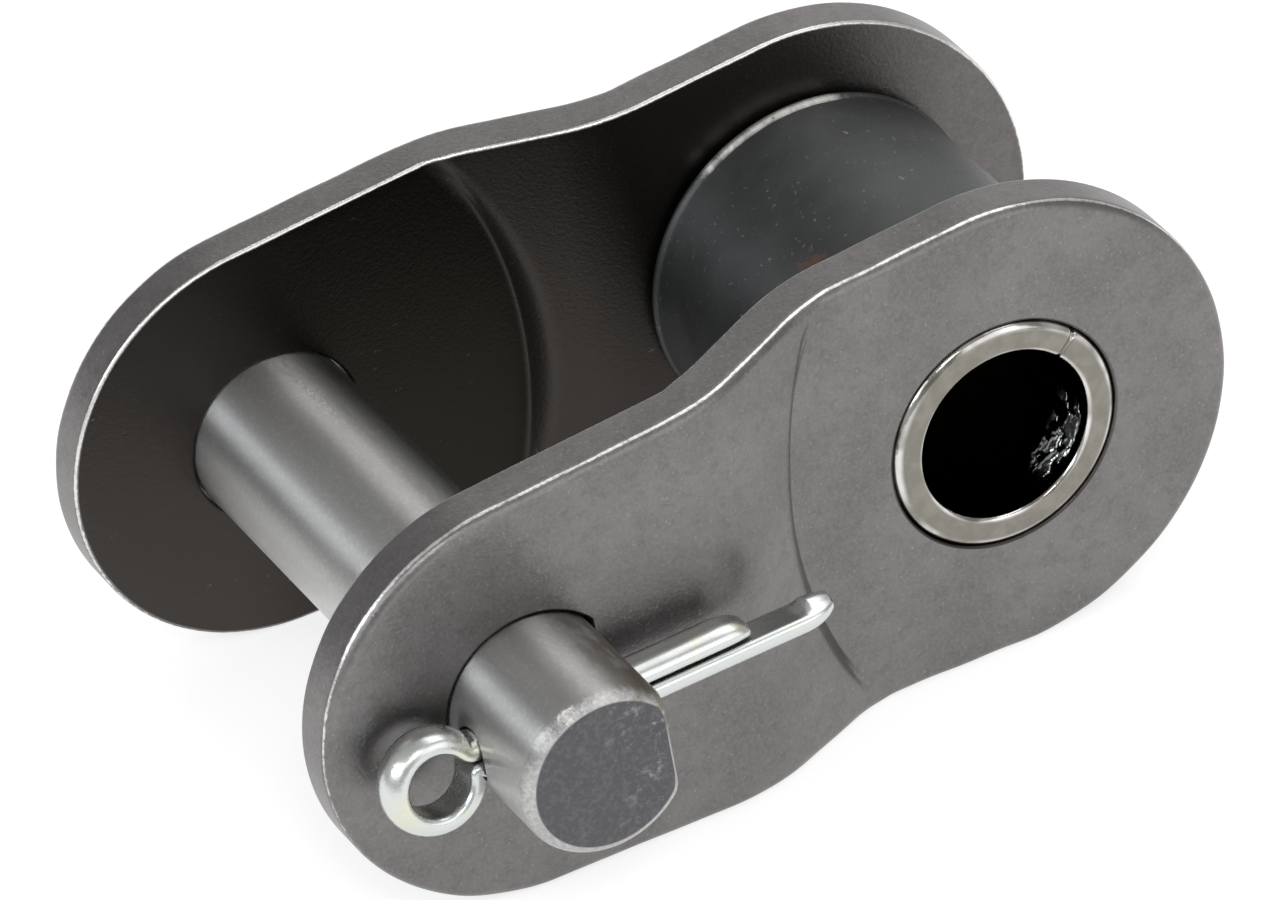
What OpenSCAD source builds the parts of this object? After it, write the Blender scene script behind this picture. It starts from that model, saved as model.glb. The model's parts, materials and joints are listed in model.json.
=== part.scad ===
// Offset link of a roller chain: a half link with its bush between the narrow ends of two cranked
// plates and a loose pin, held by a split pin, through their wide ends.
// The origin is the middle of the bush. X runs from the pin to the bush, Y lies along the pin with
// the split pin on the minus side, and Z is up.

/* [Chain] */
// Distance from the pin axis to the bush axis
pitch = 15.875; // [15.2:0.005:18]
// Clear width between the plates at the bush end, where a sprocket tooth runs
inner_width = 9.85; // [8:0.05:12]

/* [Plates] */
// Thickness of each plate
plate_t = 1.5; // [1.2:0.05:1.8]
// Radius of each plate's end around the bush
bush_end_r = 7.1; // [6.4:0.05:7.4]
// Radius of each plate's end around the pin
pin_end_r = 6.27; // [5.4:0.01:6.6]
// Room between this link's plate and the neighbouring link's plate
side_room = 0.5; // [0.2:0.05:0.9]

/* [Crank] */
// Slope of the crank against the flat ends, in degrees
crank_angle = 25; // [22:1:30]
// Inside radius of the two bends
bend_r = 5; // [3:0.1:6]
// Room between the crank and the neighbouring link's round end
swing_room = 0.7; // [0.4:0.05:0.9]
// Metal left between the two curved reliefs, along the link
web = 1.4; // [1.1:0.05:1.8]
// Radius of the curved reliefs that clear the neighbouring links' round ends
relief_r = 14.5; // [12:0.1:18]
// Lean of the relief's wall, in degrees
relief_lean = 20; // [10:1:30]

/* [Bush and roller] */
// Outside diameter of the bush
bush_d = 7; // [6.4:0.05:7.6]
// How far the bush stands out of each plate
bush_proud = 0.1; // [0.05:0.05:0.3]
// Rounding of the bush's rim
bush_rim = 0.3; // [0.1:0.05:0.5]
// Outside diameter of the roller
roller_d = 10.16; // [9:0.01:11]
// Gap between the bush and the roller, all round
roller_clearance = 0.07; // [0.03:0.01:0.1]
// Gap between the roller and each plate
roller_side = 0.15; // [0.1:0.05:0.4]
// Rounding of the roller's rims
roller_rim = 0.4; // [0.1:0.05:0.8]

/* [Pin] */
// Diameter of the pin
pin_d = 5.08; // [4.6:0.01:5.3]
// Gap between a neighbouring link's pin and this link's bush, all round
bore_clearance = 0.04; // [0.02:0.01:0.1]
// Gap between the pin and its holes in the plates, all round
hole_clearance = 0.06; // [0.03:0.01:0.15]
// How far the pin stands out past the near plate, where the split pin goes through it
pin_tail = 4.4; // [3.6:0.1:6]
// How far the pin stands out past the far plate
pin_head = 1.3; // [0.6:0.1:2.5]
// Depth of the flat that keeps the pin from turning in the near plate
flat_depth = 0.54; // [0.3:0.02:0.8]
// Rounding of the pin's ends
pin_round = 0.35; // [0.15:0.05:0.6]

/* [Split pin] */
// Diameter of the half-round wire, flat against flat
split_d = 1.3; // [0.9:0.05:1.5]
// Gap between the two legs
leg_gap = 0.2; // [0.1:0.02:0.4]
// Gap between the legs and their hole in the pin
split_clearance = 0.05; // [0.03:0.01:0.15]
// Gap between the split pin and the near plate
split_room = 0.55; // [0.2:0.05:1]
// Outside diameter of the eye
eye_d = 3.1; // [2.7:0.1:3.4]
// Distance from the middle of the eye to the neck, where the two legs meet
eye_reach = 1.2; // [1.1:0.05:1.6]
// Gap between the neck and the pin
neck_room = 0.08; // [0.04:0.02:0.4]
// How far the upper, shorter leg stands out of the pin
short_leg = 3.4; // [2:0.1:6]
// How far the lower, longer leg stands out of the pin
long_leg = 5.9; // [3:0.1:8]
// Length of the bevel at each leg's tip
tip_bevel = 0.8; // [0.3:0.1:1.2]

/* [Hidden] */
$fn = 96;

// Extra length of a cutter past the face that it cuts
spare = 1;

// Faces of the plates, measured out from the link's middle
crank_step = plate_t + side_room;
bush_in = inner_width / 2;
bush_out = bush_in + plate_t;
pin_in = bush_in + crank_step;
pin_out = pin_in + plate_t;

// Slope of a plate's straight sides, tangent to both round ends
side_lean = asin((bush_end_r - pin_end_r) / pitch);

// Middle of the crank, and how far along the link its two bends reach
crank_x = bush_end_r + swing_room + web / 2;
outer_bend_r = bend_r + plate_t;
bend_sum = bend_r + outer_bend_r;
slope_len = (crank_step - bend_sum * (1 - cos(crank_angle))) / sin(crank_angle);
crank_run = bend_sum * sin(crank_angle) + slope_len * cos(crank_angle);
relief_depth = crank_step + spare;

// Metal that the reliefs take off the flat ends
coin = 0.05;

// A round stands this far over the straight faces that run into it, so that they cross cleanly
round_over = 0.01;

// Bores and fits
bush_bore = pin_d + 2 * bore_clearance;
bush_length = 2 * (bush_out + bush_proud);
roller_bore = bush_d + 2 * roller_clearance;
roller_length = inner_width - 2 * roller_side;
flat_x = pin_d / 2 - flat_depth;

// Split pin: half-round wire, its axis across the pin
wire_r = split_d / 2;
split_y = -(pin_out + split_room + wire_r);
split_hole = split_d + leg_gap + 2 * split_clearance;
eye_r = eye_d / 2 - wire_r;
neck_x = -(pin_d / 2 + neck_room);
eye_x = neck_x - eye_reach;
// Each leg starts this far inside the eye's wire, and the mouth this far inside the eye's hole
merge = 0.1 * split_d;
leg_from_x = eye_x + eye_r + merge;
// Angle round the eye at which its mouth starts to narrow, in degrees
mouth_angle = 50;

// Waste outside a round about the origin, swept from one direction to another
module round_waste(r, from, to) {
    reach = 2 * (r + spare);
    steps = 4;
    difference() {
        polygon([
            [0, 0],
            for (i = [0 : steps]) let (a = from + (to - from) * i / steps) reach * [cos(a), sin(a)]
        ]);
        circle(r = r);
    }
}

// Outline of a plate seen from the side: two round ends joined by their common tangents
module plate_outline() {
    from_x = -pin_end_r - spare;
    to_x = pitch + bush_end_r + spare;
    side_z = (pin_end_r - round_over) / cos(side_lean);
    from_z = side_z + from_x * tan(side_lean);
    to_z = side_z + to_x * tan(side_lean);
    difference() {
        polygon([[from_x, from_z], [to_x, to_z], [to_x, -to_z], [from_x, -from_z]]);
        round_waste(pin_end_r, 90 + side_lean, 270 - side_lean);
        translate([pitch, 0]) round_waste(bush_end_r, -90 - side_lean, 90 + side_lean);
    }
}

// Section of the far plate seen from above, with metal left where a relief comes. It is the same when
// turned half round about the middle of the crank.
module crank_section() {
    reach = pitch + pin_end_r + bush_end_r;
    half_depth = (plate_t + crank_step) / 2;
    slope = [cos(crank_angle), -sin(crank_angle)];
    fold = [outer_bend_r * tan(crank_angle / 2) - crank_run / 2, half_depth];
    foot = fold + (crank_step - coin) / sin(crank_angle) * slope;
    hollow = bend_r * tan(crank_angle / 2);
    hollow_end = foot + [hollow, 0];
    outside = [[-reach, fold.y], fold, foot - hollow * slope, hollow_end, [reach, foot.y]];
    translate([crank_x, bush_in + half_depth]) difference() {
        polygon(concat(outside, -outside));
        for (turn = [0, 180]) rotate(turn) {
            translate([-crank_run / 2, half_depth - outer_bend_r])
                round_waste(outer_bend_r + round_over, 90 - crank_angle, 90);
            translate(hollow_end + [0, bend_r]) circle(r = bend_r + round_over);
        }
    }
}

// Curved relief, deeper in the crank's middle than at its edges, opening along plus Z
module relief() {
    cylinder(r1 = relief_r, r2 = relief_r + relief_depth * tan(relief_lean), h = relief_depth);
}

// A plate on the far side with its hole for the bush, still without a hole for the pin
module cranked_plate() {
    difference() {
        intersection() {
            linear_extrude(height = 2 * (bush_end_r + spare), center = true) crank_section();
            rotate([90, 0, 0]) linear_extrude(height = 2 * (pin_out + spare), center = true) plate_outline();
        }
        translate([crank_x + web / 2 + relief_r, bush_out, 0]) rotate([-90, 0, 0]) relief();
        translate([crank_x - web / 2 - relief_r, pin_in, 0]) rotate([90, 0, 0]) relief();
        translate([pitch, 0, 0]) hole(bush_d);
    }
}

// Straight round cutter along Y, through a plate on either side
module hole(d) {
    rotate([90, 0, 0]) cylinder(d = d, h = 2 * (pin_out + spare), center = true);
}

// Ring or bar turned about Y, with its outer corners rounded; it runs from y_from to y_to
module turned(r_in, r_out, y_from, y_to, rim) {
    rotate([-90, 0, 0]) rotate_extrude() difference() {
        translate([r_in, y_from]) square([r_out - r_in, y_to - y_from]);
        translate([r_out - rim, y_to - rim]) round_waste(rim, 0, 90);
        translate([r_out - rim, y_from + rim]) round_waste(rim, -90, 0);
    }
}

// Half of a round wire's section, with its flat side on the Y axis and its round side to plus X
module half_wire() {
    intersection() {
        circle(r = wire_r);
        translate([0, -split_d]) square(2 * split_d);
    }
}

// One leg of the split pin from the eye to past the pin, its tip bevelled on the round side
module leg(stand_out) {
    tip_x = pin_d / 2 + stand_out;
    difference() {
        translate([leg_from_x, 0, leg_gap / 2]) rotate([90, 0, 90])
            linear_extrude(height = tip_x - leg_from_x) rotate(90) half_wire();
        translate([tip_x - tip_bevel, -split_d, leg_gap / 2 + wire_r])
            rotate([0, atan2(wire_r / 2, tip_bevel), 0]) cube([2 * split_d, 2 * split_d, split_d]);
    }
}

// Mouth of the eye: it narrows from the eye's inside to the gap between the legs
module mouth() {
    flank = (eye_r - merge) * [cos(mouth_angle), sin(mouth_angle)];
    rotate([90, 0, 0]) linear_extrude(height = 2 * split_d, center = true) polygon([
        [0, 0],
        flank,
        [eye_reach, leg_gap / 2],
        [eye_reach, -leg_gap / 2],
        [flank.x, -flank.y]
    ]);
}

module near_plate() {
    color("#6f6c6b") translate([-pitch, 0, 0]) mirror([0, 1, 0]) difference() {
        cranked_plate();
        intersection() {
            hole(pin_d + 2 * hole_clearance);
            translate([flat_x + hole_clearance - 2 * pin_d, 0, -pin_d])
                cube([2 * pin_d, pin_out + spare, 2 * pin_d]);
        }
    }
}

module far_plate() {
    color("#676462") translate([-pitch, 0, 0]) difference() {
        cranked_plate();
        hole(pin_d + 2 * hole_clearance);
    }
}

module bush() {
    color("#b4aea4") turned(bush_bore / 2, bush_d / 2, -bush_length / 2, bush_length / 2, bush_rim);
}

module roller() {
    color("#565b5e") turned(roller_bore / 2, roller_d / 2, -roller_length / 2, roller_length / 2, roller_rim);
}

module link_pin() {
    tail_y = -(pin_out + pin_tail);
    shoulder_y = hole_clearance - pin_in;
    color("#a3a19d") translate([-pitch, 0, 0]) difference() {
        turned(0, pin_d / 2, tail_y, pin_out + pin_head, pin_round);
        translate([flat_x, tail_y - spare, -pin_d]) cube([pin_d, shoulder_y - tail_y + spare, 2 * pin_d]);
        translate([0, split_y, 0]) rotate([0, 90, 0]) cylinder(d = split_hole, h = 2 * pin_d, center = true);
    }
}

module split_pin() {
    color("#d6dad9") translate([-pitch, split_y, 0]) difference() {
        union() {
            translate([eye_x, 0, 0]) rotate([90, 0, 0]) rotate_extrude() translate([eye_r, 0]) half_wire();
            leg(short_leg);
            mirror([0, 0, 1]) leg(long_leg);
        }
        translate([eye_x, 0, 0]) mouth();
    }
}

near_plate();
far_plate();
bush();
roller();
link_pin();
split_pin();
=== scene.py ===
"""Offset link of a roller chain: the finished look of its plates, bush, roller, pin and split pin."""

import json
import math

import bmesh
import bpy
import numpy as np
from bpy.props import FloatProperty, FloatVectorProperty, PointerProperty
from bpy.types import Operator, Panel, PropertyGroup
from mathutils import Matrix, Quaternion, Vector
from mathutils.geometry import delaunay_2d_cdt


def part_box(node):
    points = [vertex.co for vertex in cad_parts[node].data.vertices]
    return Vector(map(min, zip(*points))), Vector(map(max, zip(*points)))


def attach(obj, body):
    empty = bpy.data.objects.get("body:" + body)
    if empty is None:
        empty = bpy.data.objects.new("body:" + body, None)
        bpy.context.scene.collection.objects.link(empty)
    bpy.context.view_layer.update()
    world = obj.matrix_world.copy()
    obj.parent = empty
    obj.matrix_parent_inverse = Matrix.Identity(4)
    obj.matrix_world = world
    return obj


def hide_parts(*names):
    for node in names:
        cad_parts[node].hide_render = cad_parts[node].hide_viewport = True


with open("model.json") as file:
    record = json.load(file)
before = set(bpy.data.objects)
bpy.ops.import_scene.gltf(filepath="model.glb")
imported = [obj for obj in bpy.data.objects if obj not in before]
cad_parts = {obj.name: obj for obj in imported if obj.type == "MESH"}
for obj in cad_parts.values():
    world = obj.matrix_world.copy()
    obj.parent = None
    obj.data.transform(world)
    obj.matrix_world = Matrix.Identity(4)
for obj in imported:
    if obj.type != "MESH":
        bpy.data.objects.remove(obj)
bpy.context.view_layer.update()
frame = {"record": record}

bl_info = {
    "name": "Offset link",
    "version": (1, 0, 0),
    "blender": (4, 5, 0),
    "location": "3D View > Sidebar > Link",
    "description": "Makes the pieces of a cranked roller chain link and a small studio around them",
    "category": "Add Mesh",
}

MM = 0.001
X, Y, Z = range(3)


def reach(node, axis):
    """Lowest and highest place of a node along an axis, in millimetres."""
    low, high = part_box(node)
    return low[axis] / MM, high[axis] / MM


def middle(node, axis):
    return sum(reach(node, axis)) / 2


def half_width(node, axis):
    low, high = reach(node, axis)
    return (high - low) / 2


# Sizes that the frame gives, in millimetres. The bush's axis is Y, through the origin.
PIN_X = middle("link_pin", X)
PITCH = -PIN_X
PIN_R = half_width("link_pin", X)
PIN_NEAR, PIN_FAR = reach("link_pin", Y)
PIN_HALF = half_width("link_pin", Y)
BUSH_R = half_width("bush", X)
BUSH_HALF = half_width("bush", Y)
BORE_R = frame["record"]["mounts"][0]["dims"]["r_mm"]
ROLLER_R = half_width("roller", X)
ROLLER_HALF = half_width("roller", Y)
BUSH_END_R = reach("near_plate", X)[1]
PIN_END_R = PIN_X - reach("near_plate", X)[0]
PLATE_IN, PLATE_OUT = reach("far_plate", Y)
SPLIT_Y = middle("split_pin", Y)
WIRE_R = half_width("split_pin", Y)
EYE_LEFT, LONG_TIP = reach("split_pin", X)
EYE_OUT = half_width("split_pin", Z)
SIDE_LEAN = math.asin((BUSH_END_R - PIN_END_R) / PITCH)  # lean of the plates' straight sides


def length(name, description, default_mm):
    """A size property; its default is given in millimetres."""
    return FloatProperty(name=name, description=description, default=default_mm * MM, min=0.0,
                         precision=5, unit="LENGTH", subtype="DISTANCE")


def angle(name, description, default_deg):
    return FloatProperty(name=name, description=description, default=math.radians(default_deg),
                         unit="ROTATION", subtype="ANGLE")


def colour(name, description, default):
    return FloatVectorProperty(name=name, description=description, default=default, size=3,
                               min=0.0, max=1.0, subtype="COLOR")


class PlateSizes(PropertyGroup):
    """Sizes of the two cranked plates."""
    thickness: length("Thickness", "Thickness of the sheet", 1.5)
    crank_angle: angle("Crank angle", "Slope of the crank against the flat ends", 25)
    bend: length("Bend", "Inside radius of the crank's bends", 5)
    swing_room: length("Swing room", "Room between the crank and the neighbouring link's round end", 0.7)
    web: length("Web", "Metal between the two curved reliefs, along the link", 1.4)
    relief: length("Relief", "Radius of the curved reliefs in the crank", 14.5)
    relief_lean: angle("Relief lean", "Lean of the relief's wall", 20)
    crest: length("Crest", "Softness of the ridge between the slope and the relief", 0.5)
    crease: length("Crease", "Softness of the line at the relief's foot", 0.03)
    outer_roll: length("Outer roll", "Radius of the rolled edge on the outer face", 0.36)
    inner_roll: length("Inner roll", "Radius of the rolled edge on the inner face", 0.12)
    hole_rim: length("Hole rim", "Rounding of the holes' rims", 0.08)
    pin_room: length("Pin room", "Gap between the pin and its holes", 0.06)


class TurnedSizes(PropertyGroup):
    """Sizes of the bush and the roller."""
    bush_rim: length("Bush rim", "Rounding outside the bush's rims", 0.34)
    bore_rim: length("Bore rim", "Rounding inside the bush's rims", 0.16)
    seam_angle: angle("Seam", "Place of the bush's seam, round the bush", 42)
    seam_width: length("Seam width", "Width of the bush's seam", 0.2)
    seam_depth: length("Seam depth", "Depth of the bush's seam", 0.07)
    # where the painted glints in the bore lie, round the bush
    painted_glint_turn: angle("Glint", "Where wet oil shines in the bore, round the bush", -37)
    roller_room: length("Roller room", "Gap between the bush and the roller", 0.07)
    roller_rim: length("Roller rim", "Rounding of the roller's rims", 0.25)
    lip: length("Lip", "How far the roller's rims stand over its waist", 0.07)
    lip_slope: length("Lip slope", "Width of the slope from the roller's waist up to its rims", 0.2)
    # painted highlight with some burnish: where the roller's rims are made bright, round the bush
    burnish_and_highlight: angle("Burnish", "Where the roller's rims are rubbed bright, round the bush", 98)


class PinSizes(PropertyGroup):
    """Sizes of the pin."""
    flat_depth: length("Flat depth", "Depth of the flat along the near end", 0.54)
    shoulder: length("Shoulder", "Where the flat ends, out from the link's middle", 6.865)
    end_round: length("End round", "Rounding of the pin's ends", 0.44)
    split_hole: length("Split pin hole", "Diameter of the hole for the split pin", 1.6)


class SplitPinSizes(PropertyGroup):
    """Sizes of the split pin."""
    leg_gap: length("Leg gap", "Gap between the two legs", 0.1)
    eye_reach: length("Eye reach", "From the middle of the eye to the neck", 1.2)
    short_leg: length("Short leg", "How far the upper leg stands out of the pin", 3.4)
    tip: length("Tip", "Length of the tapered tips", 0.95)
    edge: length("Edge", "Rounding of the wire's two long edges", 0.18)
    turn: angle("Turn", "How far the split pin is turned about its own legs", 10)
    bulge: length("Bulge", "Height of the long leg's domed tip over its flat", 0.3)
    eye_drop: length("Eye drop", "How far the eye hangs under the legs' middle", 0.2)


class Finishes(PropertyGroup):
    """Colours of the metals."""
    plate: colour("Plate", "Tumbled steel of the plates", (0.184, 0.175, 0.174))
    # painted shade: a dark sheet laid on the plates' inner faces and the holes' walls, where the shade
    # between the plates falls
    film: colour("Film", "Dark oily film on the plates' inner faces", (0.056, 0.05, 0.046))
    # bright steel for worn and rubbed marks, and for painted highlights on edges and rims
    worn_and_highlight: colour("Worn edge", "Bright steel where an edge is rubbed", (0.72, 0.71, 0.69))
    bush: colour("Bush", "Turned rim of the bush", (0.248, 0.235, 0.206))
    # painted glint: near-white patches in the bore
    drop: colour("Oil drop", "Glint of wet oil in the bore", (0.94, 0.98, 1.0))
    # painted shade: near-black, for the bore, the groove round the bush and the plates' relief
    deep_shade: colour("Oil", "Dark oil in the bore and the gaps", (0.012, 0.011, 0.006))
    roller: colour("Roller", "Dark steel of the roller", (0.1, 0.104, 0.105))
    rust: colour("Rust", "Stain on the roller", (0.11, 0.055, 0.035))
    pin: colour("Pin", "Ground steel of the pin", (0.5, 0.495, 0.49))
    pin_end: colour("Pin end", "Sheared end of the pin", (0.1, 0.0975, 0.1045))
    stain: colour("Stain", "Brown stain on the pin's near end", (0.16, 0.13, 0.085))
    zinc: colour("Zinc", "Plating of the split pin", (0.635, 0.657, 0.648))
    zinc_tint: colour("Zinc tint", "Yellowish bloom on the plating", (0.72, 0.7, 0.5))
    floor: colour("Floor", "Pale floor", (0.45, 0.45, 0.45))


class StageSizes(PropertyGroup):
    """The camera's place, as seen in the photograph."""
    azimuth: angle("Azimuth", "Where the camera stands, round the link", -22.138)
    elevation: angle("Elevation", "Height of the camera over the horizon", 35.515)
    roll: angle("Roll", "Turn of the camera about its own axis", -10.718)
    distance: length("Distance", "From the camera to the middle of the picture", 343.688)
    aim: FloatVectorProperty(name="Aim", description="Middle of the picture", size=3, precision=5,
                             unit="LENGTH", subtype="XYZ", default=(-8.0835 * MM, 0.0, -0.3158 * MM))
    lens: FloatProperty(name="Lens", description="Focal length, for a sensor 36 mm wide", default=350.1,
                        unit="CAMERA")


def mm(size):
    """A size property in millimetres."""
    return size / MM


# Shader maths

class Value:
    """A shader socket that takes part in Python sums: each sum on values adds a Math node."""

    def __init__(self, finish, socket):
        self.finish = finish
        self.socket = socket

    def math(self, operation, first, second=None):
        sockets = {0: first} if second is None else {0: first, 1: second}
        return self.finish.node("ShaderNodeMath", {"operation": operation}, sockets)

    def __add__(self, other):
        return self.math("ADD", self, other)

    __radd__ = __add__

    def __sub__(self, other):
        return self.math("SUBTRACT", self, other)

    def __rsub__(self, other):
        return self.math("SUBTRACT", other, self)

    def __mul__(self, other):
        return self.math("MULTIPLY", self, other)

    __rmul__ = __mul__

    def __truediv__(self, other):
        return self.math("DIVIDE", self, other)

    def __rtruediv__(self, other):
        return self.math("DIVIDE", other, self)

    def __pow__(self, other):
        return self.math("POWER", self, other)

    def __rpow__(self, other):
        return self.math("POWER", other, self)

    def __abs__(self):
        return self.math("ABSOLUTE", self)

    def rise(self, low, high):
        """0 below low, 1 above high and a soft step between them; low may be the greater."""
        return self.finish.node("ShaderNodeMapRange", {"interpolation_type": "SMOOTHSTEP"},
                                {"Value": self, "From Min": low, "From Max": high})


class Finish:
    """One material: its nodes are made by node(), and its shader is fed by set()."""

    def __init__(self, name):
        self.material = bpy.data.materials.new(name)
        self.material.use_nodes = True
        self.tree = self.material.node_tree
        self.tree.nodes.clear()
        self.shader = self.tree.nodes.new("ShaderNodeBsdfPrincipled")
        output = self.tree.nodes.new("ShaderNodeOutputMaterial")
        self.tree.links.new(self.shader.outputs["BSDF"], output.inputs["Surface"])
        place = self.node("ShaderNodeTexCoord", out="Object")
        self.place = self.node("ShaderNodeVectorMath", {"operation": "SCALE"}, {0: place, "Scale": 1 / MM})
        self.x, self.y, self.z = (self.node("ShaderNodeSeparateXYZ", None, {0: self.place}, out=axis)
                                  for axis in (X, Y, Z))

    def node(self, kind, settings=None, sockets=None, out=0):
        """Adds a node: its settings first, then the values or links of its sockets. Gives one output."""
        node = self.tree.nodes.new(kind)
        for name, value in (settings or {}).items():
            setattr(node, name, value)
        for name, value in (sockets or {}).items():
            self.feed(node.inputs[name], value)
        return Value(self, node.outputs[out])

    def feed(self, socket, value):
        if isinstance(value, Value):
            self.tree.links.new(value.socket, socket)
        elif socket.type == "RGBA":
            socket.default_value = (*value, 1.0)
        else:
            socket.default_value = value

    def set(self, **sockets):
        """Feeds the shader; a name's underscores stand for spaces."""
        for name, value in sockets.items():
            self.feed(self.shader.inputs[name.replace("_", " ")], value)

    def mix(self, amount, first, second):
        """A colour between two others."""
        return self.node("ShaderNodeMix", {"data_type": "RGBA"}, {0: amount, 6: first, 7: second}, out=2)

    def vary(self, amount, tone, darkest, lightest):
        """A colour between a darker and a lighter shade of itself."""
        return self.mix(amount, shade(tone, darkest), shade(tone, lightest))

    def noise(self, per_mm, detail=2.0, stretch=(1, 1, 1), roughness=0.5):
        """Soft noise about 0.5; per_mm is its count of cells along a millimetre."""
        where = self.node("ShaderNodeVectorMath", {"operation": "MULTIPLY"}, {0: self.place, 1: stretch})
        return self.node("ShaderNodeTexNoise", None, {"Vector": where, "Scale": per_mm, "Detail": detail,
                                                      "Roughness": roughness})

    def attribute(self, name):
        return self.node("ShaderNodeAttribute", {"attribute_name": name}, out="Fac")

    def bump(self, height, depth_mm, spread=0.0):
        """Fine relief; spread leans the surface to and fro along Y, as turning marks do."""
        lean = (self.node("ShaderNodeTexWhiteNoise", None, {"Vector": self.place}) - 0.5) * spread
        along = self.node("ShaderNodeCombineXYZ", None, {"Y": lean})
        face = self.node("ShaderNodeNewGeometry", out="Normal")
        leant = self.node("ShaderNodeVectorMath", {"operation": "ADD"}, {0: face, 1: along})
        self.set(Normal=self.node("ShaderNodeBump", None, {
            "Height": height, "Distance": depth_mm * MM,
            "Normal": self.node("ShaderNodeVectorMath", {"operation": "NORMALIZE"}, {0: leant})}))

    def round_axis(self, x_mm=0.0):
        """Distance from an axis along Y at that X."""
        return ((self.x - x_mm) ** 2 + self.z ** 2) ** 0.5

    def facing(self, turn, r):
        """On a round of radius r about the bush's axis: 1 where it faces that turn, and less beside it."""
        return (self.x * math.cos(turn) + self.z * math.sin(turn)) / r


def shade(tone, factor):
    """A darker or lighter colour."""
    return [part * factor for part in tone]


# Where finishes change, in millimetres: each pair is where the change starts and where it is complete
# the painted shade on the plates' inner faces gets lighter along X towards the bush's end
PAINTED_SHADE_THINS = (0.5, 5.5)  # along X, towards the bush's end
EDGE_WEAR_AND_HIGHLIGHT = (-7, 5)  # along Z: edge wear and painted highlight, brighter the higher the edge lies
# where the painted shade inside the relief's circle starts along X, and where its edge lies
SHADE_POOL_STARTS = (-18, -13.5)  # along X, from the pin's end
SHADE_POOL_SHORE = (0.1, -0.2)  # beyond the relief's radius
BORE_SKIN = (0.05, 0.01)  # beyond the bore's radius
# where the painted shade starts in the bore, and on the outside in the groove at the plates
BORE_SHADE = (0.05, 0.2)  # in from the bush's end
GROOVE_SHADE = (0.24, 0.34)  # in from the bush's end
OUTER_ROUND = (0.3, 0.15)  # in from the bush's outside
INNER_ROUND = (0.16, 0.06)  # out from the bore
# in from the bush's end: where the painted glints in the bore start and stop
GLINTS_START = (0.3, 0.55)  # in from the bush's end
GLINTS_STOP = (1.825, 1.225)  # in from the bush's end
RUST_SPOT = (-2.64, -1.47, 4.34)  # middle of the stain on the roller, as the photograph shows it
RUST_SPREAD = (0.9, 0.2)  # from that middle
PIN_RIM = (0.5, 0.25)  # in from the pin's ends
PIN_FACE = (0.03, 0.01)  # in from the pin's ends
FLECK_SIDE = (-0.5, 1.7)  # along X from the pin's axis
STAIN_SIDE = (0.2, 1.6)  # along X from the pin's axis
STAIN_TOP = (0, 1)  # along Z from the pin's axis
STAIN_STARTS = (0, 0.6)  # out from the near plate


def plate_finish(colours, form):
    """Satin tumbled steel with fine specks and soft clouds, rubbed edges with painted highlights along them,
    and painted shade on the inner faces.
    """
    finish = Finish("plate_steel_tumbled")
    clouds = finish.noise(0.35, 3)
    grain = finish.noise(9, 2)
    mottle = finish.noise(2.4, 4, roughness=0.7)
    specks = finish.noise(11, 1).rise(0.66, 0.8)
    edge = finish.attribute("wear")
    # painted shade on the inner faces and the holes' walls, lighter towards the bush's end
    film = finish.attribute("film") * (1 - 0.7 * finish.x.rise(*PAINTED_SHADE_THINS))
    # edge wear with a painted highlight line along the roll, brighter higher up
    upper = finish.z.rise(*EDGE_WEAR_AND_HIGHLIGHT)
    rubbed_and_highlight = (edge * (0.1 + 0.35 * upper + finish.noise(5, 5, roughness=0.8) * 1.15)).rise(0.6, 0.9)
    tone = finish.vary(clouds.rise(0.3, 0.7), colours.plate, 0.86, 1.1)
    tone = finish.mix(mottle.rise(0.55, 0.35) * 0.5, tone, shade(colours.plate, 0.76))
    tone = finish.mix(grain.rise(0.35, 0.75) * 0.3, tone, shade(colours.plate, 1.5))
    tone = finish.mix(specks * 0.16, tone, colours.worn_and_highlight)
    # painted shade: darker inside the relief's circle and away from the pin's end
    past_relief = finish.round_axis(form.inner_relief_x()) - form.relief
    pooled_shade = past_relief.rise(*SHADE_POOL_SHORE) * finish.x.rise(*SHADE_POOL_STARTS)
    deep_shade = finish.mix(pooled_shade * 0.65, colours.film, colours.deep_shade)
    scuffs = finish.noise(1.7, 5, stretch=(1, 1, 3), roughness=0.7).rise(0.66, 0.76)
    tone = finish.mix(film, tone, finish.mix(scuffs * 0.2, deep_shade, colours.worn_and_highlight))
    finish.set(Base_Color=finish.mix(rubbed_and_highlight, tone, colours.worn_and_highlight), Metallic=1.0,
               Roughness=0.36 + 0.06 * (clouds - 0.5) + 0.06 * (grain - 0.5) - 0.05 * rubbed_and_highlight)
    finish.bump(grain + 0.5 * specks, 0.008)
    return finish.material


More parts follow.
